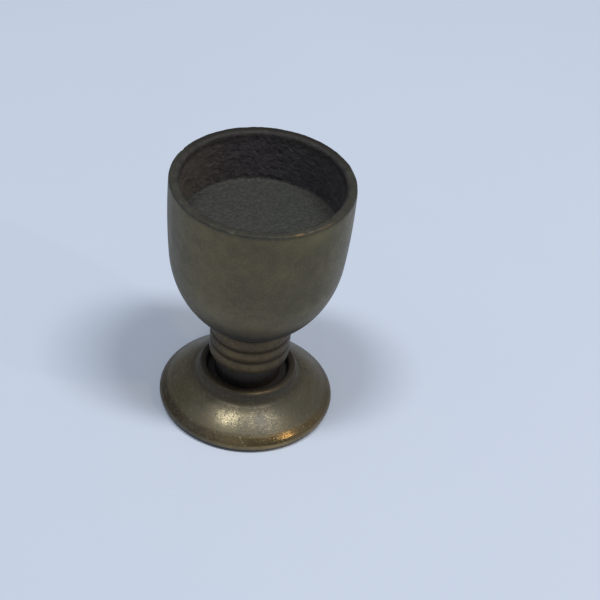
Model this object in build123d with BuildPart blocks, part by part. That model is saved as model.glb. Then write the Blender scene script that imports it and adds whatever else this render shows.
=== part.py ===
from build123d import *
from math import acos, ceil, cos, degrees, floor, radians, tan
import os

# Small footed desk cup in tarnished brass, turned in three pieces: a bowl with a shallow well, a stem of
# three beads and a domed foot.  A steel stud threads up into the bowl, and a washer and nut under the
# foot draw the three together.  Millimetres, +Z up, origin on the table at the centre of the foot.

height = 61.2
rim_radius = 20.0

# Bowl: the belly is part of an ellipse, the wall above it one long, nearly upright arc
belly_radius = 19.35
belly_depth = 23.1
belly_height = 44.4
shoulder_angle = 6.7
cove_radius = 1.3
seat_height = 23.2
well_radius = 17.7
well_depth = 12.8
well_corner_radius = 0.6
rim_outer_round = 0.5
rim_inner_round = 0.9
boss_radius = 5.5
boss_length = 2.0
boss_chamfer = 0.4

# Stem: three beads parted by narrow grooves, with a plain neck and spigot below
stem_radius = 9.15
bead_count = 3
bead_pitch = 3.05
bead_swell = 0.2
groove_width = 0.5
groove_depth = 0.2
neck_radius = 7.4
neck_cove_radius = 0.8

# Foot: collar, cove, dome and a rounded edge, hollowed underneath so that it stands on a ring
foot_radius = 19.9
edge_height = 1.4
edge_rise = 1.75
edge_sweep = 40.0
rest_radius = 17.6
cove_foot_radius = 12.6
cove_foot_height = 6.75
cove_top_height = 8.9
collar_radius = 11.1
collar_height = 9.9
collar_round = 0.7
trench_radius = 9.3
trench_height = 8.2
socket_height = 6.4
relief_radius = 14.6
relief_height = 1.2
nut_well_radius = 7.0
nut_well_height = 4.4

# M5 x 0.8 hardware
bolt_radius = 2.5
thread_pitch = 0.8
thread_root_radius = 2.07
thread_play = 0.05
clearance_hole_radius = 2.75
stud_bottom = 0.3
stud_top = 33.0
stud_chamfer = 0.5
drilled_height = 36.0
washer_radius = 5.0
washer_thickness = 1.0
washer_chamfer = 0.15
nut_across_flats = 8.0
nut_thickness = 2.7
nut_corner_chamfer = 0.3

# Gap all round between a boss or spigot and the bore that centres it
fit_gap = 0.05

# How near a ring's radius must be to the one wanted when an edge is picked out to be rounded
ring_match = 0.01

well_floor = height - well_depth
boss_end = seat_height - boss_length
stem_foot = seat_height - bead_count * bead_pitch
washer_bottom = nut_well_height - washer_thickness
nut_bottom = washer_bottom - nut_thickness

os.makedirs("parts", exist_ok=True)


def threaded_rod(play, bottom, top):
    """M5 rod about Z, its thread drawn as rings at the real pitch and depth.  Every rod's rings stand at
    the same heights, so a rod with more play cuts the hole that a rod with less play sits in."""
    root = thread_root_radius + play
    crest = bolt_radius + play
    crest_half_width = thread_pitch / 16
    root_half_width = crest_half_width + (crest - root) * tan(radians(30))
    first_ring = floor(bottom / thread_pitch)
    last_ring = ceil(top / thread_pitch)
    outline = [(0, (first_ring - 1) * thread_pitch), (root, (first_ring - 1) * thread_pitch)]
    for ring in range(first_ring, last_ring + 1):
        outline += [
            (root, ring * thread_pitch - root_half_width),
            (crest, ring * thread_pitch - crest_half_width),
            (crest, ring * thread_pitch + crest_half_width),
            (root, ring * thread_pitch + root_half_width),
        ]
    outline += [(root, (last_ring + 1) * thread_pitch), (0, (last_ring + 1) * thread_pitch)]
    with BuildPart() as rod:
        with BuildSketch(Plane.XZ):
            with BuildLine():
                Polyline(outline, close=True)
            make_face()
        revolve(axis=Axis.Z)
        split(bisect_by=Plane.XY.offset(bottom), keep=Keep.TOP)
        split(bisect_by=Plane.XY.offset(top), keep=Keep.BOTTOM)
    return rod.part


# Bowl: a solid casting turned outside, its well left as cast, with a boss below that centres the stem
seat_angle = degrees(acos(stem_radius / belly_radius))
with BuildPart() as bowl:
    with BuildSketch(Plane.XZ):
        with BuildLine():
            belly = EllipticalCenterArc(
                (0, belly_height),
                belly_radius,
                belly_depth,
                start_angle=-seat_angle,
                arc_size=seat_angle - shoulder_angle,
            )
            wall = TangentArc(belly @ 1, (rim_radius, height), tangent=belly % 1)
            Polyline(
                wall @ 1,
                (well_radius, height),
                (well_radius, well_floor),
                (0, well_floor),
                (0, boss_end),
                (boss_radius, boss_end),
                (boss_radius, seat_height),
                (stem_radius, seat_height),
                belly @ 0,
            )
        make_face()
    revolve(axis=Axis.Z)
    rings = bowl.edges().filter_by(GeomType.CIRCLE)
    neck_rings = rings.filter_by(lambda ring: abs(ring.radius - stem_radius) < ring_match)
    fillet(neck_rings.sort_by(Axis.Z)[-1], cove_radius)
    rim_rings = bowl.edges().filter_by(GeomType.CIRCLE).group_by(Axis.Z)[-1]
    fillet(rim_rings.sort_by(lambda ring: ring.radius)[-1], rim_outer_round)
    rim_rings = bowl.edges().filter_by(GeomType.CIRCLE).group_by(Axis.Z)[-1]
    fillet(rim_rings.sort_by(lambda ring: ring.radius)[0], rim_inner_round)
    floor_face = bowl.faces().filter_by(Plane.XY).sort_by(Axis.Z)[-2]
    fillet(floor_face.edges(), well_corner_radius)
    chamfer(bowl.faces().sort_by(Axis.Z)[0].edges(), boss_chamfer)
    with BuildSketch(Plane.XY.offset(boss_end)):
        Circle(thread_root_radius)
    extrude(amount=drilled_height - boss_end, mode=Mode.SUBTRACT)
    add(threaded_rod(thread_play, boss_end - thread_pitch, stud_top + thread_pitch), mode=Mode.SUBTRACT)
bowl.part.label = "bowl"
export_step(bowl.part, "parts/bowl.step")

# Stem: a turned sleeve that the stud passes through, counterbored at the top for the bowl's boss
bead_edge = stem_radius - bead_swell
groove_bottom = bead_edge - groove_depth
with BuildPart() as stem:
    with BuildSketch(Plane.XZ):
        with BuildLine():
            Polyline(
                (bead_edge, stem_foot),
                (neck_radius, stem_foot),
                (neck_radius, socket_height),
                (0, socket_height),
                (0, seat_height),
                (bead_edge, seat_height),
            )
            for bead in range(bead_count):
                bead_low = stem_foot + bead * bead_pitch + (groove_width / 2 if bead > 0 else 0)
                bead_high = stem_foot + (bead + 1) * bead_pitch
                if bead < bead_count - 1:
                    bead_high -= groove_width / 2
                    Polyline(
                        (bead_edge, bead_high),
                        (groove_bottom, bead_high + groove_width / 2),
                        (bead_edge, bead_high + groove_width),
                    )
                ThreePointArc(
                    (bead_edge, bead_low),
                    (stem_radius, (bead_low + bead_high) / 2),
                    (bead_edge, bead_high),
                )
        make_face()
    revolve(axis=Axis.Z)
    rings = stem.edges().filter_by(GeomType.CIRCLE)
    neck_rings = rings.filter_by(lambda ring: abs(ring.radius - neck_radius) < ring_match)
    fillet(neck_rings.sort_by(Axis.Z)[-1], neck_cove_radius)
    with Locations((0, 0, seat_height)):
        CounterBoreHole(clearance_hole_radius, boss_radius + fit_gap, boss_length + fit_gap)
stem.part.label = "stem"
export_step(stem.part, "parts/stem.step")

# Foot: a turned base with a socket for the stem's spigot and a well underneath for the washer and nut
with BuildPart() as foot:
    with BuildSketch(Plane.XZ):
        with BuildLine():
            under_edge = EllipticalCenterArc(
                (rest_radius, edge_height),
                foot_radius - rest_radius,
                edge_height,
                start_angle=-90,
                arc_size=90,
            )
            upper_edge = EllipticalCenterArc(
                (rest_radius, edge_height),
                foot_radius - rest_radius,
                edge_rise,
                start_angle=0,
                arc_size=edge_sweep,
            )
            dome = TangentArc(upper_edge @ 1, (cove_foot_radius, cove_foot_height), tangent=upper_edge % 1)
            cove = TangentArc(dome @ 1, (collar_radius, cove_top_height), tangent=dome % 1)
            Polyline(
                cove @ 1,
                (collar_radius, collar_height),
                (trench_radius, collar_height),
                (trench_radius, trench_height),
                (neck_radius + fit_gap, trench_height),
                (neck_radius + fit_gap, socket_height),
                (0, socket_height),
                (0, nut_well_height),
                (nut_well_radius, nut_well_height),
                (nut_well_radius, relief_height),
                (relief_radius, relief_height),
                (relief_radius, 0),
                under_edge @ 0,
            )
        make_face()
    revolve(axis=Axis.Z)
    collar_rings = foot.edges().filter_by(GeomType.CIRCLE).group_by(Axis.Z)[-1]
    fillet(collar_rings, collar_round)
    with Locations((0, 0, socket_height)):
        Hole(clearance_hole_radius)
foot.part.label = "foot"
export_step(foot.part, "parts/foot.step")

# Stud: steel, threaded along its whole length, both ends chamfered
with BuildPart() as stud:
    add(threaded_rod(-thread_play, stud_bottom, stud_top))
    with BuildSketch(Plane.XZ):
        with BuildLine():
            Polyline(
                (0, stud_bottom),
                (bolt_radius - stud_chamfer, stud_bottom),
                (bolt_radius, stud_bottom + stud_chamfer),
                (bolt_radius, stud_top - stud_chamfer),
                (bolt_radius - stud_chamfer, stud_top),
                (0, stud_top),
                close=True,
            )
        make_face()
    revolve(axis=Axis.Z, mode=Mode.INTERSECT)
stud.part.label = "stud"
export_step(stud.part, "parts/stud.step")

# Washer: plain steel, between the nut and the roof of the foot's nut well
with BuildPart() as washer:
    with BuildSketch(Plane.XY.offset(washer_bottom)):
        Circle(washer_radius)
        Circle(clearance_hole_radius, mode=Mode.SUBTRACT)
    extrude(amount=washer_thickness)
    washer_rings = washer.faces().sort_by(Axis.Z)[0].edges()
    chamfer(washer_rings.sort_by(lambda ring: ring.radius)[-1], washer_chamfer)
washer.part.label = "washer"
export_step(washer.part, "parts/washer.step")

# Nut: thin steel hexagon with its outer corners turned off and its thread mouths countersunk
with BuildPart() as nut:
    with BuildSketch(Plane.XY.offset(nut_bottom)):
        RegularPolygon(nut_across_flats / 2, 6, major_radius=False)
    extrude(amount=nut_thickness)
    corner_radius = nut_across_flats / 2 / cos(radians(30))
    with BuildSketch(Plane.XZ):
        with BuildLine():
            Polyline(
                (0, nut_bottom),
                (nut_across_flats / 2, nut_bottom),
                (corner_radius, nut_bottom + nut_corner_chamfer),
                (corner_radius, washer_bottom - nut_corner_chamfer),
                (nut_across_flats / 2, washer_bottom),
                (0, washer_bottom),
                close=True,
            )
        make_face()
    revolve(axis=Axis.Z, mode=Mode.INTERSECT)
    tap = threaded_rod(thread_play, nut_bottom - thread_pitch, washer_bottom + thread_pitch)
    add(tap, mode=Mode.SUBTRACT)
nut.part.label = "nut"
export_step(nut.part, "parts/nut.step")

for piece in (bowl, stem, foot, stud, washer, nut):
    print(piece.part.label, piece.part.is_valid, round(piece.part.volume, 1), len(piece.part.solids()))
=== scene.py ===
from math import atan2, cos, degrees, hypot, pi, radians, sin

import bpy
from mathutils import Matrix, Vector


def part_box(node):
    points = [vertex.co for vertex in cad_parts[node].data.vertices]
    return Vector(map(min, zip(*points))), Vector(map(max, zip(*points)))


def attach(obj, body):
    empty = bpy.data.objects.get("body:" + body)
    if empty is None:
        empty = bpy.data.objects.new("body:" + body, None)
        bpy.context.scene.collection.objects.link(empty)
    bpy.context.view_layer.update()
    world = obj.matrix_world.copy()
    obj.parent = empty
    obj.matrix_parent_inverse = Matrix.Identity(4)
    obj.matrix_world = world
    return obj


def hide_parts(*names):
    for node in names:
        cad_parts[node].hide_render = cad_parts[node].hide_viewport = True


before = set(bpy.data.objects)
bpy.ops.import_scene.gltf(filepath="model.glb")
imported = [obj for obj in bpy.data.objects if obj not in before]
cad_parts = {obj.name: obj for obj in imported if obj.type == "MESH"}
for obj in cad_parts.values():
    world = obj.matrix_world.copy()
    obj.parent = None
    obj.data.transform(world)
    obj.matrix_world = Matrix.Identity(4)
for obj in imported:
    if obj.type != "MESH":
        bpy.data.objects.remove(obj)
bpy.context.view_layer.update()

# Table and light ------------------------------------------------------------------------------------
# The cup stands on a pale bluish sheet of card.  Two soft strip lamps hang overhead, end to end
# from left to right and a little in front of the cup; a small warm lamp is lower down on the right.
bpy.ops.object.select_all(action="DESELECT")
bpy.ops.mesh.primitive_grid_add(x_subdivisions=8, y_subdivisions=8, size=3.0, location=(0, 0, 0))
table = bpy.context.object
table.name = "table"

card = bpy.data.materials.new("pale_card")
card.use_nodes = True
nodes, links = card.node_tree.nodes, card.node_tree.links
shader = nodes["Principled BSDF"]
shader.inputs["Roughness"].default_value = 0.85
shader.inputs["Specular IOR Level"].default_value = 0.2
place = nodes.new("ShaderNodeTexCoord")
mottle = nodes.new("ShaderNodeTexNoise")
mottle.inputs["Scale"].default_value = 9.0
mottle.inputs["Detail"].default_value = 6.0
tint = nodes.new("ShaderNodeMix")
tint.data_type = "RGBA"
tint.inputs["A"].default_value = (0.735, 0.820, 0.975, 1)
tint.inputs["B"].default_value = (0.785, 0.865, 1.0, 1)
fibre = nodes.new("ShaderNodeTexNoise")
fibre.inputs["Scale"].default_value = 900.0
fibre.inputs["Detail"].default_value = 4.0
relief = nodes.new("ShaderNodeBump")
relief.inputs["Strength"].default_value = 0.15
relief.inputs["Distance"].default_value = 0.0002
links.new(place.outputs["Object"], mottle.inputs["Vector"])
links.new(place.outputs["Object"], fibre.inputs["Vector"])
links.new(mottle.outputs["Fac"], tint.inputs["Factor"])
links.new(tint.outputs["Result"], shader.inputs["Base Color"])
links.new(fibre.outputs["Fac"], relief.inputs["Height"])
links.new(relief.outputs["Normal"], shader.inputs["Normal"])
table.data.materials.append(card)

scene = bpy.context.scene
scene.view_settings.view_transform = "Standard"
room = bpy.data.worlds.new("room")
scene.world = room
room.use_nodes = True
room.node_tree.nodes["Background"].inputs["Color"].default_value = (0.80, 0.87, 1.0, 1)
room.node_tree.nodes["Background"].inputs["Strength"].default_value = 0.175

for name, across, length, power in (("right_strip", 0.40, 0.42, 7.6), ("left_strip", -0.28, 0.30, 5.6)):
    bpy.ops.object.light_add(type="AREA", location=(across, -0.23, 1.3), rotation=(radians(32), 0, 0))
    strip = bpy.context.object
    strip.name = name
    strip.data.shape = "RECTANGLE"
    strip.data.size = length
    strip.data.size_y = 0.19
    strip.data.energy = power
    strip.data.color = (0.97, 0.985, 1.0)

warm_place = Vector((0.36, -0.17, 0.345))
bpy.ops.object.light_add(type="AREA", location=warm_place)
warm_lamp = bpy.context.object
warm_lamp.name = "warm_lamp"
warm_lamp.rotation_mode = "QUATERNION"
warm_lamp.rotation_quaternion = (-warm_place).to_track_quat("-Z", "Y")
warm_lamp.data.shape = "DISK"
warm_lamp.data.size = 0.03
warm_lamp.data.energy = 0.14
warm_lamp.data.color = (1.0, 0.70, 0.38)

# Camera: above and in front of the cup, looking down on it and held a little crooked
camera_place = Vector((0.0, -0.29264, 0.27018))
camera_turn, camera_dip, camera_roll = radians(2.028), radians(39.442), radians(6.207)
bpy.ops.object.camera_add(location=camera_place)
camera = bpy.context.object
camera.name = "camera"
look = Vector((sin(camera_turn) * cos(camera_dip), cos(camera_turn) * cos(camera_dip), -sin(camera_dip)))
camera.rotation_mode = "QUATERNION"
camera.rotation_quaternion = (
    look.to_track_quat("-Z", "Y") @ Matrix.Rotation(camera_roll, 3, "Z").to_quaternion()
)
camera.data.sensor_width = 36.0
camera.data.lens = 102.48
scene.camera = camera

# Bowl -----------------------------------------------------------------------------------------------
# A solid brass casting, turned outside and left as cast inside its shallow well.  It screws down on
# the stud, and a boss under it centres the stem.  Old handling has left it a dull olive brown.
bowl_low, bowl_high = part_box("bowl")
stem_low, stem_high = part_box("stem")
bowl_radius = min(bowl_high.x, bowl_high.y)
rim_height = bowl_high.z
seat_height = stem_high.z


def ellipse_arc(centre, radii, start, stop, count):
    """Outline points (radius, height) along part of an ellipse, its angles in degrees from outward."""
    angles = [radians(start + (stop - start) * step / count) for step in range(count + 1)]
    return [(centre[0] + radii[0] * cos(angle), centre[1] + radii[1] * sin(angle)) for angle in angles]


def bowed(start, stop, bow, count):
    """Outline points after start up to stop, standing proud of the straight line by bow at its middle."""
    run, rise = stop[0] - start[0], stop[1] - start[1]
    length = hypot(run, rise)
    points = []
    for step in range(1, count + 1):
        along = step / count
        proud = 4 * bow * along * (1 - along) / length
        points.append((start[0] + run * along + rise * proud, start[1] + rise * along - run * proud))
    return points


def turned(name, outline, around):
    """Turns a solid on the Z axis: one point is drawn out along the outline, then spun right round."""
    bpy.ops.object.select_all(action="DESELECT")
    bpy.ops.mesh.primitive_plane_add(size=0.001, location=(0, 0, 0))
    piece = bpy.context.object
    piece.name = name
    bpy.ops.object.mode_set(mode="EDIT")
    bpy.ops.mesh.select_all(action="SELECT")
    bpy.ops.mesh.merge(type="CENTER")
    bpy.ops.transform.translate(value=(outline[0][0], 0, outline[0][1]))
    for before, after in zip(outline, outline[1:]):
        step = (after[0] - before[0], 0, after[1] - before[1])
        bpy.ops.mesh.extrude_vertices_move(TRANSFORM_OT_translate={"value": step})
    bpy.ops.mesh.select_all(action="SELECT")
    bpy.ops.mesh.spin(steps=around, angle=2 * pi, center=(0, 0, 0), axis=(0, 0, 1))
    bpy.ops.mesh.select_all(action="SELECT")
    bpy.ops.mesh.remove_doubles(threshold=1e-7)
    bpy.ops.mesh.normals_make_consistent(inside=False)
    bpy.ops.object.mode_set(mode="OBJECT")
    bpy.ops.object.shade_smooth_by_angle(angle=radians(40))
    return piece


neck_radius = 0.00915
belly_radius, belly_depth, belly_height = 0.01935, 0.0231, 0.0444
belly_start, belly_stop, wall_bow, cove_bow = -58.5, -6.7, 0.00026, -0.00018
rim_radius, rim_round = bowl_radius - 0.00003, 0.0005
well_radius, well_floor, well_round, well_corner = 0.0177, rim_height - 0.0128, 0.0009, 0.0006
thread_hole, drill_height, drill_point = 0.00257, 0.036, 0.0015
boss_radius, boss_chamfer = 0.0055, 0.0004

bowl_outline = [(0, drill_height + drill_point), (thread_hole, drill_height)]
bowl_outline += [(thread_hole, bowl_low.z + boss_chamfer), (thread_hole + boss_chamfer, bowl_low.z)]
bowl_outline += [(boss_radius - boss_chamfer, bowl_low.z), (boss_radius, bowl_low.z + boss_chamfer)]
bowl_outline += [(boss_radius, seat_height)]
bowl_outline += [(neck_radius - 0.0002, seat_height), (neck_radius, seat_height + 0.0002)]
belly = ellipse_arc((0, belly_height), (belly_radius, belly_depth), belly_start, belly_stop, 46)
bowl_outline += bowed(bowl_outline[-1], belly[0], cove_bow, 5) + belly[1:]
wall_top = (rim_radius, rim_height - rim_round)
bowl_outline += bowed(belly[-1], wall_top, wall_bow, 40)
bowl_outline += ellipse_arc((rim_radius - rim_round, wall_top[1]), (rim_round, rim_round), 0, 90, 5)[1:]
bowl_outline += bowed(bowl_outline[-1], (well_radius + well_round, rim_height), 0, 3)
bowl_outline += ellipse_arc(
    (well_radius + well_round, rim_height - well_round), (well_round, well_round), 90, 180, 7
)[1:]
bowl_outline += bowed(bowl_outline[-1], (well_radius, well_floor + well_corner), 0, 38)
bowl_outline += ellipse_arc(
    (well_radius - well_corner, well_floor + well_corner), (well_corner, well_corner), 0, -90, 4
)[1:]
bowl_outline += bowed(bowl_outline[-1], (0, well_floor), 0, 46)
bowl = turned("old_bowl", bowl_outline, 360)
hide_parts("bowl")
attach(bowl, "root")

# The well's wall and floor are lumpy from the sand mould, and the lip is a little battered and nicked
lip_depth = 0.0012
well_group = bowl.vertex_groups.new(name="well")
lip_group = bowl.vertex_groups.new(name="lip")
for vertex in bowl.data.vertices:
    radius, depth = hypot(vertex.co.x, vertex.co.y), rim_height - vertex.co.z
    if radius < well_radius + 0.0006 and depth < rim_height - well_floor + 0.0001:
        well_group.add([vertex.index], min(1.0, max(0.15, depth / 0.002)), "REPLACE")
    if depth < lip_depth and radius > well_radius - 0.0001:
        lip_group.add([vertex.index], 1.0 - depth / lip_depth, "REPLACE")
for name, group, kind, size, strength in (
    ("sand_lumps", "well", "CLOUDS", 0.0013, 0.00020),
    ("sand_grit", "well", "STUCCI", 0.0006, 0.00020),
    ("battering", "lip", "CLOUDS", 0.0022, 0.00028),
):
    texture = bpy.data.textures.new(name, kind)
    texture.noise_scale = size
    lumps = bowl.modifiers.new(name, "DISPLACE")
    lumps.texture = texture
    lumps.texture_coords = "LOCAL"
    lumps.vertex_group = group
    lumps.strength = strength
    lumps.mid_level = 0.5 if group == "well" else 1.0
    bpy.context.view_layer.objects.active = bowl
    bpy.ops.object.modifier_apply(modifier=name)
for nick_x, nick_y, nick_size in (
    (-0.0053, -0.0191, 0.0011),
    (0.0098, -0.0169, 0.0008),
    (-0.0176, 0.0087, 0.0008),
):
    for vertex in bowl.data.vertices:
        apart = hypot(vertex.co.x - nick_x, vertex.co.y - nick_y)
        if apart < nick_size and vertex.co.z > rim_height - lip_depth:
            vertex.co.z -= 0.3 * (nick_size - apart)


def node(tree, kind, feeds=None, **settings):
    """Adds a node; feeds gives each input a value, or the socket that it is joined to."""
    made = tree.nodes.new(kind)
    for name, value in settings.items():
        setattr(made, name, value)
    for name, value in (feeds or {}).items():
        if isinstance(value, bpy.types.NodeSocket):
            tree.links.new(value, made.inputs[name])
        else:
            made.inputs[name].default_value = value
    return made


def number(tree, operation, first, second=0.0):
    return node(tree, "ShaderNodeMath", {0: first, 1: second}, operation=operation).outputs[0]


def times(tree, first, second):
    return number(tree, "MULTIPLY", first, second)


def plus(tree, first, second):
    return number(tree, "ADD", first, second)


def minus(tree, first, second):
    return number(tree, "SUBTRACT", first, second)


def ramp(tree, value, low, high, bottom=0.0, top=1.0):
    """Smoothly from bottom, where value is low, to top, where it is high."""
    feeds = {"Value": value, "From Min": low, "From Max": high, "To Min": bottom, "To Max": top}
    return node(tree, "ShaderNodeMapRange", feeds, interpolation_type="SMOOTHSTEP").outputs[0]


def blend(tree, share, under, over):
    feeds = {"Factor": share, "A": under, "B": over}
    return node(tree, "ShaderNodeMix", feeds, data_type="RGBA").outputs["Result"]


def noise(tree, point, scale, detail, roughness=0.5):
    feeds = {"Vector": point, "Scale": scale, "Detail": detail, "Roughness": roughness}
    return node(tree, "ShaderNodeTexNoise", feeds).outputs["Fac"]


def effect(name, takes, gives):
    """A shader node group with named sockets; returns it with its inner input and output sockets."""
    tree = bpy.data.node_groups.new(name, "ShaderNodeTree")
    for socket, value in takes.items():
        kind = "NodeSocketFloat" if isinstance(value, float) else "NodeSocketColor"
        tree.interface.new_socket(socket, in_out="INPUT", socket_type=kind).default_value = value
    for socket, kind in gives.items():
        tree.interface.new_socket(socket, in_out="OUTPUT", socket_type="NodeSocket" + kind)
    return tree, tree.nodes.new("NodeGroupInput").outputs, tree.nodes.new("NodeGroupOutput").inputs


def use(tree, group, **feeds):
    """Places an effect in a material with its own values."""
    made = node(tree, "ShaderNodeGroup", node_tree=group)
    for name, value in feeds.items():
        socket = made.inputs[name.replace("_", " ")]
        if isinstance(value, bpy.types.NodeSocket):
            tree.links.new(value, socket)
        else:
            socket.default_value = value
    return made.outputs


# Where a point lies on the lathe: how far from the axis, and how high
place_sockets = {"Radius": "Float", "Height": "Float", "Point": "Vector"}
lathe_place, takes, gives = effect("lathe_place", {}, place_sockets)
point = node(lathe_place, "ShaderNodeTexCoord").outputs["Object"]
axes = node(lathe_place, "ShaderNodeSeparateXYZ", {"Vector": point}).outputs
flat = node(lathe_place, "ShaderNodeCombineXYZ", {"X": axes["X"], "Y": axes["Y"]}).outputs["Vector"]
reach = node(lathe_place, "ShaderNodeVectorMath", {0: flat}, operation="LENGTH").outputs["Value"]
lathe_place.links.new(reach, gives["Radius"])
lathe_place.links.new(axes["Z"], gives["Height"])
lathe_place.links.new(point, gives["Point"])

# Brass under an uneven film of tarnish, with darker stains and small specks
tarnish, takes, gives = effect(
    "tarnish",
    {"Bare": (0.5, 0.4, 0.2, 1), "Film": (0.2, 0.2, 0.1, 1), "Stain": (0.05, 0.04, 0.03, 1), "Cover": 0.6},
    {"Color": "Color", "Film": "Float", "Height": "Float"},
)
point = use(tarnish, lathe_place)["Point"]
patches = noise(tarnish, point, 75.0, 5.0, 0.55)
clouds = noise(tarnish, point, 380.0, 6.0, 0.62)
grain = noise(tarnish, point, 2600.0, 4.0, 0.6)
in_patches = ramp(tarnish, patches, 0.3, 0.7, -0.22, 0.22)
in_clouds = ramp(tarnish, clouds, 0.3, 0.7, -0.14, 0.14)
in_grain = ramp(tarnish, grain, 0.3, 0.7, -0.2, 0.2)
cover = plus(tarnish, plus(tarnish, takes["Cover"], plus(tarnish, in_patches, in_clouds)), in_grain)
cover = node(tarnish, "ShaderNodeClamp", {"Value": cover}).outputs[0]
filmed = blend(tarnish, cover, takes["Bare"], takes["Film"])
cells = node(tarnish, "ShaderNodeTexVoronoi", {"Vector": point, "Scale": 1100.0, "Randomness": 1.0})
dots = ramp(tarnish, cells.outputs["Distance"], 0.10, 0.26, 1.0, 0.0)
specks = times(tarnish, dots, ramp(tarnish, clouds, 0.5, 0.62, 0.0, 0.4))
smears = ramp(tarnish, noise(tarnish, point, 160.0, 7.0, 0.7), 0.56, 0.74, 0.0, 0.6)
stains = number(tarnish, "MAXIMUM", specks, smears)
stained = blend(tarnish, stains, filmed, takes["Stain"])
tarnish.links.new(stained, gives["Color"])
tarnish.links.new(cover, gives["Film"])
tarnish.links.new(
    minus(tarnish, times(tarnish, grain, 0.6), times(tarnish, specks, 0.5)),
    gives["Height"],
)

# Fine rings left by the turning tool and the polishing cloth, a little broken round the piece
turning_marks, takes, gives = effect("turning_marks", {"Lines": 4200.0}, {"Height": "Float"})
place = use(turning_marks, lathe_place)
drift = node(turning_marks, "ShaderNodeVectorMath", {0: place["Point"], "Scale": 0.035}, operation="SCALE")
rings = node(turning_marks, "ShaderNodeCombineXYZ", {"X": place["Radius"], "Z": place["Height"]})
feeds = {0: rings.outputs[0], 1: drift.outputs[0]}
drawn = node(turning_marks, "ShaderNodeVectorMath", feeds, operation="ADD")
turning_marks.links.new(noise(turning_marks, drawn.outputs[0], takes["Lines"], 2.0, 0.6), gives["Height"])

# Thin straight scratches in three directions, where the piece has been slid about and handled
scratches, takes, gives = effect("scratches", {"Fineness": 1500.0, "Amount": 0.5}, {"Mask": "Float"})
point = use(scratches, lathe_place)["Point"]
lines = None
for turn in ((0.3, 0.2, 0.6), (1.2, -0.5, 2.1), (-0.4, 0.9, 3.9)):
    drawn = node(
        scratches, "ShaderNodeMapping", {"Vector": point, "Rotation": turn, "Scale": (1.0, 0.05, 1.0)}
    ).outputs["Vector"]
    line = noise(scratches, drawn, takes["Fineness"], 1.0, 0.4)
    lines = line if lines is None else number(scratches, "MAXIMUM", lines, line)
edge = minus(scratches, 0.82, times(scratches, takes["Amount"], 0.2))
mask = node(
    scratches,
    "ShaderNodeMapRange",
    {"Value": lines, "From Min": edge, "From Max": plus(scratches, edge, 0.04)},
).outputs[0]
scratches.links.new(mask, gives["Mask"])

# Pits and grit of a surface left as it came from the sand
cast_skin, takes, gives = effect("cast_skin", {"Grit": 1300.0}, {"Height": "Float", "Pits": "Float"})
point = use(cast_skin, lathe_place)["Point"]
warp = noise(cast_skin, point, times(cast_skin, takes["Grit"], 0.7), 4.0, 0.6)
feeds = {"Vector": point, "Scale": takes["Grit"], "Randomness": 1.0}
cells = node(cast_skin, "ShaderNodeTexVoronoi", feeds)
dots = ramp(cast_skin, cells.outputs["Distance"], 0.12, 0.42, 1.0, 0.0)
pits = times(cast_skin, dots, ramp(cast_skin, warp, 0.42, 0.6))
rough = noise(cast_skin, point, times(cast_skin, takes["Grit"], 2.2), 6.0, 0.7)
cast_skin.links.new(minus(cast_skin, rough, times(cast_skin, pits, 0.8)), gives["Height"])
cast_skin.links.new(pits, gives["Pits"])


def finish_of(name):
    """A new material; returns it, its node tree and its shader."""
    material = bpy.data.materials.new(name)
    material.use_nodes = True
    return material, material.node_tree, material.node_tree.nodes["Principled BSDF"]


bowl_brass, tree, shader = finish_of("bowl_brass")
place = use(tree, lathe_place)
metal = use(
    tree,
    tarnish,
    Bare=(0.168, 0.136, 0.070, 1),
    Film=(0.106, 0.093, 0.061, 1),
    Stain=(0.06, 0.052, 0.04, 1),
    Cover=0.62,
)
skin = use(tree, cast_skin, Grit=1700.0)
marks = use(tree, turning_marks, Lines=3600.0)
scores = use(tree, scratches, Fineness=1700.0, Amount=0.35)
in_wall = times(
    tree,
    ramp(tree, place["Radius"], well_radius + 0.0001, well_radius + 0.0013, 1.0, 0.0),
    ramp(tree, place["Height"], well_floor - 0.0008, well_floor - 0.0004),
)
on_floor = times(
    tree, in_wall, ramp(tree, place["Height"], well_floor + 0.0002, well_floor + 0.0009, 1.0, 0.0)
)
speckle = ramp(tree, noise(tree, place["Point"], 1500.0, 6.0, 0.75), 0.3, 0.7)
floor_film = blend(tree, speckle, (0.055, 0.057, 0.051, 1), (0.108, 0.110, 0.098, 1))
crust = noise(tree, place["Point"], 420.0, 6.0, 0.7)
# Painted shade under the bowl: darker towards the bottom, thinning out upwards with a ragged edge; it dulls
# the metal there too
wander = ramp(tree, noise(tree, place["Point"], 130.0, 6.0, 0.65), 0.3, 0.7, -0.0012, 0.0012)
underside_shade_low, underside_shade_high = seat_height + 0.0043, seat_height + 0.0118
underside_painted_shade = ramp(tree, plus(tree, place["Height"], wander), underside_shade_low, underside_shade_high, 0.88, 0.0)
axes = node(tree, "ShaderNodeSeparateXYZ", {"Vector": place["Point"]}).outputs
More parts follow.
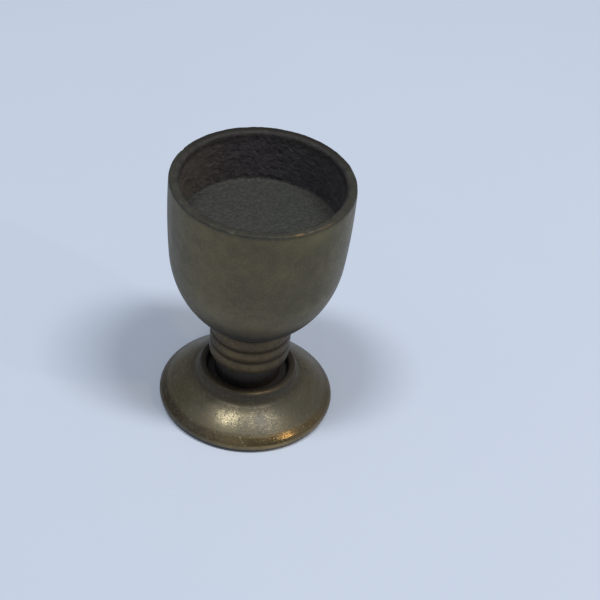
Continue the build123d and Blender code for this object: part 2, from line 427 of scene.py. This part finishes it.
# Painted light: the crust on the wall is browner and lighter on the left, where light falls in over the
# right of the lip
lit_left_wall = ramp(tree, axes["X"], -0.0165, -0.007, 1.0, 0.0)
crust_light = blend(tree, lit_left_wall, (0.200, 0.180, 0.190, 1), (0.340, 0.290, 0.240, 1))
wall_crust = blend(tree, crust, (0.036, 0.035, 0.044, 1), crust_light)
near_lip = ramp(tree, place["Height"], rim_height - 0.0030, rim_height - 0.0009, 0.0, 0.8)
lip_crust = blend(tree, crust, (0.020, 0.019, 0.019, 1), (0.090, 0.085, 0.076, 1))
wall_crust = blend(tree, near_lip, wall_crust, lip_crust)
front_right = times(
    tree,
    times(tree, ramp(tree, axes["X"], 0.003, 0.009), ramp(tree, axes["X"], 0.0125, 0.017, 1.0, 0.0)),
    ramp(tree, axes["Y"], -0.013, -0.008, 1.0, 0.0),
)
near_rim = ramp(tree, place["Height"], rim_height - 0.0075, rim_height - 0.0015)
on_lip = ramp(tree, place["Height"], rim_height - 0.0013, rim_height - 0.0003)
# Radius and height together are greatest half way round the lip's outer edge
edge_line = ramp(
    tree,
    plus(tree, place["Radius"], place["Height"]),
    rim_radius + rim_height - 0.00046,
    rim_radius + rim_height - 0.00034,
)
edge_line = times(tree, edge_line, ramp(tree, noise(tree, place["Point"], 260.0, 5.0), 0.35, 0.6, 0.3, 1.0))
# Painted reflection: a yellow-green patch on the front right below the rim
painted_reflection_patch = times(tree, front_right, times(tree, near_rim, 0.35))
colour = blend(tree, painted_reflection_patch, metal["Color"], (0.20, 0.185, 0.08, 1))
# Painted shade under the bowl
colour = blend(tree, underside_painted_shade, colour, (0.022, 0.018, 0.016, 1))
lip_tone = blend(tree, crust, (0.012, 0.012, 0.012, 1), (0.125, 0.124, 0.106, 1))
# Painted shade: the lip is darker towards the back
lip_tone = blend(tree, ramp(tree, axes["Y"], 0.0, 0.016, 0.0, 0.85), lip_tone, (0.017, 0.017, 0.018, 1))
colour = blend(tree, times(tree, on_lip, 0.85), colour, lip_tone)
colour = blend(tree, times(tree, edge_line, 0.85), colour, (0.022, 0.020, 0.018, 1))
# On the right in front, handling has worn the lip's edge less dull, and it is painted gold there as a
# highlight of the warm lamp
wear_and_painted_glint = ramp(
    tree,
    plus(tree, place["Radius"], place["Height"]),
    rim_radius + rim_height - 0.00085,
    rim_radius + rim_height - 0.00050,
)
wear_and_painted_glint = times(tree, times(tree, wear_and_painted_glint, on_lip), front_right)
wear_and_painted_glint = times(tree, wear_and_painted_glint, ramp(tree, noise(tree, place["Point"], 600.0, 5.0, 0.6), 0.3, 0.7))
# Painted highlight: golden glint on the worn front-right edge
colour = blend(tree, times(tree, wear_and_painted_glint, 0.7), colour, (0.27, 0.19, 0.09, 1))
colour = blend(tree, in_wall, colour, wall_crust)
colour = blend(tree, on_floor, colour, floor_film)
pit_share = minus(tree, times(tree, in_wall, 0.7), times(tree, on_floor, 0.5))
pitted = times(tree, skin["Pits"], pit_share)
colour = blend(tree, pitted, colour, (0.015, 0.013, 0.012, 1))
tree.links.new(colour, shader.inputs["Base Color"])
unworn = minus(tree, 0.45, times(tree, wear_and_painted_glint, 0.45))
dulled = number(tree, "MAXIMUM", times(tree, underside_painted_shade, 0.8), times(tree, on_lip, unworn))
dulled = number(tree, "MAXIMUM", dulled, times(tree, in_wall, 0.55))
tree.links.new(ramp(tree, dulled, 0.0, 1.0, 0.88, 0.1), shader.inputs["Metallic"])
tree.links.new(ramp(tree, dulled, 0.0, 1.0, 0.5, 0.15), shader.inputs["Specular IOR Level"])
filmed_rough = ramp(tree, metal["Film"], 0.0, 1.0, 0.36, 0.52)
outside_rough = plus(tree, filmed_rough, times(tree, scores["Mask"], -0.08))
tree.links.new(plus(tree, outside_rough, times(tree, dulled, 0.4)), shader.inputs["Roughness"])
outside_height = plus(tree, times(tree, metal["Height"], 0.5), times(tree, marks["Height"], 0.35))
outside_height = minus(tree, outside_height, times(tree, scores["Mask"], 0.4))
gritty = number(tree, "MAXIMUM", in_wall, times(tree, on_lip, 0.5))
feeds = {"Factor": gritty, "A": outside_height, "B": times(tree, skin["Height"], 5.0)}
height = node(tree, "ShaderNodeMix", feeds).outputs["Result"]
relief = node(tree, "ShaderNodeBump", {"Height": height, "Strength": 0.5, "Distance": 0.00008})
tree.links.new(relief.outputs["Normal"], shader.inputs["Normal"])
bowl.data.materials.append(bowl_brass)

# Stem -----------------------------------------------------------------------------------------------
# A turned brass sleeve that the stud passes through: three beads parted by narrow grooves, and a
# plain neck whose end drops into the foot's socket.
stud_clearance = 0.00275
bead_crest, bead_swell, bead_pitch, bead_count = 0.00915, 0.0002, 0.00305, 3
groove_half, groove_depth = 0.00025, 0.0002
stem_neck, neck_cove = 0.0074, 0.0008
bead_edge = bead_crest - bead_swell
bead_foot = seat_height - bead_count * bead_pitch
end_break = 0.0002
stem_outline = [(stud_clearance, stem_low.z), (stem_neck - end_break, stem_low.z)]
stem_outline += [(stem_neck, stem_low.z + end_break)]
stem_outline += bowed(stem_outline[-1], (stem_neck, bead_foot - neck_cove), 0, 6)
stem_outline += ellipse_arc(
    (stem_neck + neck_cove, bead_foot - neck_cove), (neck_cove, neck_cove), 180, 90, 6
)[1:]
for bead in range(bead_count):
    low = bead_foot + bead * bead_pitch + (groove_half if bead > 0 else 0)
    high = bead_foot + (bead + 1) * bead_pitch - (groove_half if bead < bead_count - 1 else 0)
    stem_outline.append((bead_edge, low))
    stem_outline += bowed((bead_edge, low), (bead_edge, high), bead_swell, 12)
    if bead < bead_count - 1:
        stem_outline += [
            (bead_edge - 0.8 * groove_depth, high + 0.7 * groove_half),
            (bead_edge - groove_depth, high + groove_half),
            (bead_edge - 0.8 * groove_depth, high + 1.3 * groove_half),
        ]
counterbore, counterbore_floor = 0.00555, bowl_low.z - 0.00005
stem_outline += [(counterbore, seat_height), (counterbore, counterbore_floor)]
stem_outline += [(stud_clearance, counterbore_floor), (stud_clearance, stem_low.z)]
stem = turned("beaded_stem", stem_outline, 256)
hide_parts("stem")
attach(stem, "root")

stem_brass, tree, shader = finish_of("stem_brass")
place = use(tree, lathe_place)
metal = use(
    tree,
    tarnish,
    Bare=(0.155, 0.112, 0.058, 1),
    Film=(0.073, 0.058, 0.040, 1),
    Stain=(0.032, 0.026, 0.021, 1),
    Cover=0.6,
)
marks = use(tree, turning_marks, Lines=5200.0)
# Darker in the grooves and on the neck: dirt, and painted shade in these recesses
dirt_and_painted_shade = ramp(tree, place["Radius"], bead_edge - 0.0001, bead_edge + 0.00012, 1.0, 0.0)
dirt_and_painted_shade = times(tree, dirt_and_painted_shade, ramp(tree, noise(tree, place["Point"], 500.0, 5.0), 0.3, 0.6, 0.2, 0.6))
on_neck = ramp(tree, place["Height"], bead_foot - 0.0003, bead_foot + 0.0002, 1.0, 0.0)
dirt_and_painted_shade = number(tree, "MAXIMUM", dirt_and_painted_shade, on_neck)
caked = noise(tree, place["Point"], 350.0, 6.0, 0.65)
neck_tone = blend(tree, caked, (0.022, 0.019, 0.018, 1), (0.085, 0.070, 0.058, 1))
colour = blend(tree, dirt_and_painted_shade, metal["Color"], neck_tone)
tree.links.new(colour, shader.inputs["Base Color"])
tree.links.new(ramp(tree, dirt_and_painted_shade, 0.0, 1.0, 0.9, 0.15), shader.inputs["Metallic"])
tree.links.new(ramp(tree, dirt_and_painted_shade, 0.0, 1.0, 0.5, 0.35), shader.inputs["Specular IOR Level"])
tree.links.new(
    plus(tree, ramp(tree, metal["Film"], 0.0, 1.0, 0.36, 0.50), times(tree, dirt_and_painted_shade, 0.3)),
    shader.inputs["Roughness"],
)
height = plus(tree, times(tree, metal["Height"], 0.5), times(tree, marks["Height"], 0.6))
relief = node(tree, "ShaderNodeBump", {"Height": height, "Strength": 0.5, "Distance": 0.00008})
tree.links.new(relief.outputs["Normal"], shader.inputs["Normal"])
stem.data.materials.append(stem_brass)

# Foot -----------------------------------------------------------------------------------------------
# A turned brass base: a collar round the stem, a cove, a dome and a rounded edge.  It is hollowed
# underneath, so that it stands on a ring, with a deeper well for the washer and nut.
foot_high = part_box("foot")[1]
washer_low, washer_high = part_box("washer")
foot_radius = min(foot_high.x, foot_high.y) - 0.00001
edge_reach, edge_height, edge_rise, edge_sweep = 0.0023, 0.0014, 0.00175, 40
rest_radius = foot_radius - edge_reach
dome_top, cove_top = (0.0126, 0.00675), 0.0089
collar_radius, collar_top, collar_round = 0.0111, foot_high.z, 0.0007
trench_radius, trench_floor = 0.0093, 0.0082
relief_radius, relief_height, nut_well_radius = 0.0146, 0.0012, 0.0070


def tangent_arc(start, heading, stop, count):
    """Outline points after start up to stop on the circle that leaves start at heading, in degrees from
    outward; also the heading that it arrives with."""
    chord = degrees(atan2(stop[1] - start[1], stop[0] - start[0]))
    turn = 2 * (chord - heading)
    radius = hypot(stop[0] - start[0], stop[1] - start[1]) / 2 / sin(radians(turn / 2))
    centre = (start[0] - radius * sin(radians(heading)), start[1] + radius * cos(radians(heading)))
    angles = [radians(heading + turn * step / count) for step in range(1, count + 1)]
    points = [(centre[0] + radius * sin(angle), centre[1] - radius * cos(angle)) for angle in angles]
    return points, heading + turn


foot_outline = [(stud_clearance, washer_high.z)]
foot_outline += bowed(foot_outline[-1], (nut_well_radius, washer_high.z), 0, 6)
foot_outline += [(nut_well_radius, relief_height + 0.0002), (nut_well_radius + 0.0002, relief_height)]
foot_outline += bowed(foot_outline[-1], (relief_radius, relief_height), 0, 10)
foot_outline += [(relief_radius, 0.0002), (relief_radius + 0.0002, 0), (rest_radius - 0.001, 0)]
foot_outline += ellipse_arc((rest_radius, edge_height), (edge_reach, edge_height), -90, 0, 14)
foot_outline += ellipse_arc((rest_radius, edge_height), (edge_reach, edge_rise), 0, edge_sweep, 8)[1:]
heading = degrees(atan2(edge_rise * cos(radians(edge_sweep)), -edge_reach * sin(radians(edge_sweep))))
dome, heading = tangent_arc(foot_outline[-1], heading, dome_top, 34)
cove = tangent_arc(dome_top, heading, (collar_radius, cove_top), 16)[0]
foot_outline += dome + cove
foot_outline += ellipse_arc(
    (collar_radius - collar_round, collar_top - collar_round), (collar_round, collar_round), 0, 90, 7
)
foot_outline += ellipse_arc(
    (trench_radius + collar_round, collar_top - collar_round), (collar_round, collar_round), 90, 180, 7
)
socket_radius = stem_neck + 0.00005
foot_outline += [(trench_radius, trench_floor + 0.0003), (trench_radius - 0.0003, trench_floor)]
foot_outline += [(socket_radius, trench_floor), (socket_radius, stem_low.z), (stud_clearance, stem_low.z)]
foot_outline += [(stud_clearance, washer_high.z)]
foot = turned("domed_foot", foot_outline, 360)
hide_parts("foot")
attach(foot, "root")

foot_brass, tree, shader = finish_of("foot_brass")
place = use(tree, lathe_place)
metal = use(
    tree,
    tarnish,
    Bare=(0.215, 0.177, 0.102, 1),
    Film=(0.136, 0.125, 0.092, 1),
    Stain=(0.06, 0.051, 0.038, 1),
    Cover=0.62,
)
marks = use(tree, turning_marks, Lines=4200.0)
scores = use(tree, scratches, Fineness=2600.0, Amount=0.6)
# Darker in the cove round the collar: dirt, and painted shade from the bowl above
sheltered = ramp(tree, place["Radius"], collar_radius - 0.0002, dome_top[0] + 0.0014, 1.0, 0.0)
on_top = ramp(tree, place["Height"], relief_height + 0.0002, relief_height + 0.0006)
dirt_and_painted_shade = times(tree, times(tree, sheltered, 0.6), on_top)
in_trench = times(
    tree,
    ramp(tree, place["Radius"], trench_radius + 0.0001, trench_radius + 0.0005, 1.0, 0.0),
    ramp(tree, place["Height"], trench_floor - 0.001, trench_floor - 0.0005),
)
dirt_and_painted_shade = number(tree, "MAXIMUM", dirt_and_painted_shade, in_trench)
under = times(
    tree,
    ramp(tree, place["Radius"], relief_radius - 0.0004, relief_radius + 0.0002, 1.0, 0.0),
    ramp(tree, place["Height"], washer_high.z - 0.0001, washer_high.z + 0.0003, 1.0, 0.0),
)
axes = node(tree, "ShaderNodeSeparateXYZ", {"Vector": place["Point"]}).outputs
# The edge and the collar are rubbed smoother in blotches towards the front right, on the warm lamp's side,
# and painted golden there as a highlight
warm_lamp_side = ramp(tree, minus(tree, axes["X"], axes["Y"]), 0.006, 0.015)
blotches = ramp(tree, noise(tree, place["Point"], 140.0, 5.0), 0.35, 0.65, 0.3, 1.0)
near_edge = ramp(tree, place["Radius"], foot_radius - 0.0021, foot_radius - 0.0012)
on_collar = times(
    tree,
    ramp(tree, place["Height"], collar_top - 0.0006, collar_top - 0.0002),
    ramp(tree, place["Radius"], collar_radius - 0.0012, collar_radius - 0.0006),
)
polish_and_painted_glint = times(tree, number(tree, "MAXIMUM", near_edge, on_collar), warm_lamp_side)
polish_and_painted_glint = times(tree, polish_and_painted_glint, times(tree, blotches, ramp(tree, axes["Y"], -0.013, -0.006, 1.0, 0.2)))
colour = blend(tree, dirt_and_painted_shade, metal["Color"], (0.033, 0.027, 0.023, 1))
colour = blend(tree, in_trench, colour, (0.080, 0.070, 0.064, 1))
colour = blend(tree, times(tree, under, 0.55), colour, (0.05, 0.04, 0.028, 1))
# Darker band near the edge: patina, and painted shade for the dark room it reflects
colour = blend(tree, times(tree, near_edge, 0.6), colour, (0.060, 0.046, 0.034, 1))
# Painted highlight: golden glint where the edge and collar are rubbed
colour = blend(tree, times(tree, polish_and_painted_glint, 0.6), colour, (0.40, 0.29, 0.13, 1))
colour = blend(tree, times(tree, scores["Mask"], 0.14), colour, (0.55, 0.44, 0.26, 1))
tree.links.new(colour, shader.inputs["Base Color"])
shine = ramp(tree, metal["Film"], 0.25, 0.9, 0.70, 0.20)
shine = number(tree, "MAXIMUM", shine, times(tree, polish_and_painted_glint, 0.95))
tree.links.new(
    times(tree, shine, ramp(tree, number(tree, "MAXIMUM", dirt_and_painted_shade, under), 0.0, 1.0, 1.0, 0.45)),
    shader.inputs["Metallic"],
)
shader.inputs["Specular IOR Level"].default_value = 0.2
gloss = minus(tree, ramp(tree, metal["Film"], 0.0, 1.0, 0.25, 0.38), times(tree, polish_and_painted_glint, 0.16))
gloss = plus(tree, gloss, times(tree, number(tree, "MAXIMUM", dirt_and_painted_shade, under), 0.25))
tree.links.new(gloss, shader.inputs["Roughness"])
height = plus(tree, times(tree, metal["Height"], 0.6), times(tree, marks["Height"], 0.4))
height = minus(tree, height, times(tree, scores["Mask"], 0.8))
relief = node(tree, "ShaderNodeBump", {"Height": height, "Strength": 0.55, "Distance": 0.00008})
tree.links.new(relief.outputs["Normal"], shader.inputs["Normal"])
foot.data.materials.append(foot_brass)

# Stud -----------------------------------------------------------------------------------------------
# Plain M5 steel rod with a rolled right-hand thread, screwed up into the bowl.  Its end shows in the
# nut under the foot.
stud_low, stud_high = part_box("stud")
pitch, stud_crest, stud_root, flank_slope = 0.0008, stud_high.x, 0.00202, 0.577
thread_turns = int((stud_high.z - stud_low.z) / pitch) + 3
bpy.ops.object.select_all(action="DESELECT")
bpy.ops.mesh.primitive_plane_add(size=0.001, location=(0, 0, 0))
stud = bpy.context.object
stud.name = "threaded_stud"
bpy.ops.object.mode_set(mode="EDIT")
bpy.ops.mesh.select_all(action="SELECT")
bpy.ops.mesh.merge(type="CENTER")
bpy.ops.transform.translate(value=(stud_root, 0, stud_low.z - pitch))
flank, flank_rise = stud_crest - stud_root, (stud_crest - stud_root) * flank_slope
for move in (
    (0, 0, pitch / 2 - flank_rise),
    (flank * 0.9, 0, flank_rise * 0.9),
    (flank * 0.1, 0, flank_rise * 0.1 + pitch / 32),
    (-flank * 0.1, 0, flank_rise * 0.1 + pitch / 32),
):
    bpy.ops.mesh.extrude_vertices_move(TRANSFORM_OT_translate={"value": move})
flank_left = pitch - (pitch / 2 - flank_rise) - flank_rise - pitch / 16 - flank_rise * 0.1
bpy.ops.mesh.extrude_vertices_move(TRANSFORM_OT_translate={"value": (-flank * 0.9, 0, flank_left)})
bpy.ops.object.mode_set(mode="OBJECT")
helix = stud.modifiers.new("helix", "SCREW")
helix.screw_offset = pitch
helix.iterations = thread_turns
helix.steps = helix.render_steps = 32
helix.use_merge_vertices = True
helix.merge_threshold = 1e-7
bpy.ops.object.modifier_apply(modifier="helix")
bpy.ops.object.mode_set(mode="EDIT")
bpy.ops.mesh.select_all(action="SELECT")
bpy.ops.mesh.remove_doubles(threshold=1e-7)
for height, outward in ((stud_low.z, -1), (stud_high.z, 1)):
    bpy.ops.mesh.select_all(action="SELECT")
    bpy.ops.mesh.bisect(
        plane_co=(0, 0, height), plane_no=(0, 0, outward), use_fill=True, clear_outer=True, threshold=1e-7
    )
bpy.ops.mesh.select_all(action="SELECT")
bpy.ops.mesh.normals_make_consistent(inside=False)
bpy.ops.object.mode_set(mode="OBJECT")
bpy.ops.object.shade_smooth_by_angle(angle=radians(25))
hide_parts("stud")
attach(stud, "root")
steel, tree, shader = finish_of("dull_steel")
place = use(tree, lathe_place)
rust = ramp(tree, noise(tree, place["Point"], 900.0, 7.0, 0.7), 0.55, 0.68)
dull = noise(tree, place["Point"], 2500.0, 4.0)
scores = use(tree, scratches, Fineness=2600.0, Amount=0.5)
grey = blend(tree, dull, (0.30, 0.295, 0.285, 1), (0.50, 0.495, 0.48, 1))
rusted = blend(tree, times(tree, rust, 0.7), grey, (0.12, 0.055, 0.025, 1))
tree.links.new(rusted, shader.inputs["Base Color"])
tree.links.new(ramp(tree, rust, 0.0, 1.0, 1.0, 0.4), shader.inputs["Metallic"])
weathered = plus(tree, dull, rust)
tree.links.new(ramp(tree, weathered, 0.3, 1.3, 0.34, 0.75), shader.inputs["Roughness"])
height = minus(tree, weathered, times(tree, scores["Mask"], 0.8))
relief = node(tree, "ShaderNodeBump", {"Height": height, "Strength": 0.4, "Distance": 0.00004})
tree.links.new(relief.outputs["Normal"], shader.inputs["Normal"])
stud.data.materials.append(steel)

# Washer ---------------------------------------------------------------------------------------------
# A stamped steel washer between the nut and the roof of the nut's well, its lower edge rounded.
washer_radius, washer_hole, stamped_round = washer_high.x, 0.00275, 0.0002
washer_outline = [(washer_hole, washer_low.z + 0.0001), (washer_hole + 0.0001, washer_low.z)]
washer_outline += bowed(washer_outline[-1], (washer_radius - stamped_round, washer_low.z), 0, 4)
washer_outline += ellipse_arc(
    (washer_radius - stamped_round, washer_low.z + stamped_round), (stamped_round, stamped_round), -90, 0, 5
)[1:]
washer_outline += [(washer_radius, washer_high.z), (washer_hole, washer_high.z), washer_outline[0]]
washer = turned("plain_washer", washer_outline, 96)
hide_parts("washer")
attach(washer, "root")
washer.data.materials.append(steel)

# Nut ------------------------------------------------------------------------------------------------
# A thin steel hexagon on the stud, cut from bar: its corners are turned off at 30 degrees on both
# faces and the mouths of its thread are countersunk.
nut_low, nut_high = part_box("nut")
nut_corner = nut_high.x
nut_flat = nut_corner * cos(radians(30))
bpy.ops.object.select_all(action="DESELECT")
bpy.ops.mesh.primitive_cylinder_add(
    vertices=6,
    radius=nut_corner,
    depth=nut_high.z - nut_low.z,
    location=(0, 0, (nut_high.z + nut_low.z) / 2),
    rotation=(0, 0, radians(90)),
)
nut = bpy.context.object
nut.name = "thin_nut"
bpy.ops.object.transform_apply(location=True, rotation=True, scale=True)
corner_drop = (nut_corner - nut_flat) * flank_slope
thread_bore, mouth = 0.00212, 0.0026
bar_outline = [
    (thread_bore, nut_low.z + mouth - thread_bore),
    (mouth, nut_low.z),
    (nut_flat - 0.0001, nut_low.z),
    (nut_corner + 0.0001, nut_low.z + corner_drop + 0.0001),
    (nut_corner + 0.0001, nut_high.z - corner_drop - 0.0001),
    (nut_flat - 0.0001, nut_high.z),
    (mouth, nut_high.z),
    (thread_bore, nut_high.z - mouth + thread_bore),
    (thread_bore, nut_low.z + mouth - thread_bore),
]
bar = turned("nut_bar", bar_outline, 144)
bpy.ops.object.select_all(action="DESELECT")
nut.select_set(True)
bpy.context.view_layer.objects.active = nut
cut = nut.modifiers.new("turned_bar", "BOOLEAN")
cut.operation = "INTERSECT"
cut.object = bar
bpy.ops.object.modifier_apply(modifier="turned_bar")
bpy.data.objects.remove(bar)
soften = nut.modifiers.new("soften", "BEVEL")
soften.width = 0.00006
soften.segments = 2
soften.limit_method = "ANGLE"
soften.angle_limit = radians(25)
bpy.ops.object.modifier_apply(modifier="soften")
bpy.ops.object.shade_smooth_by_angle(angle=radians(30))
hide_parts("nut")
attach(nut, "root")
nut.data.materials.append(steel)
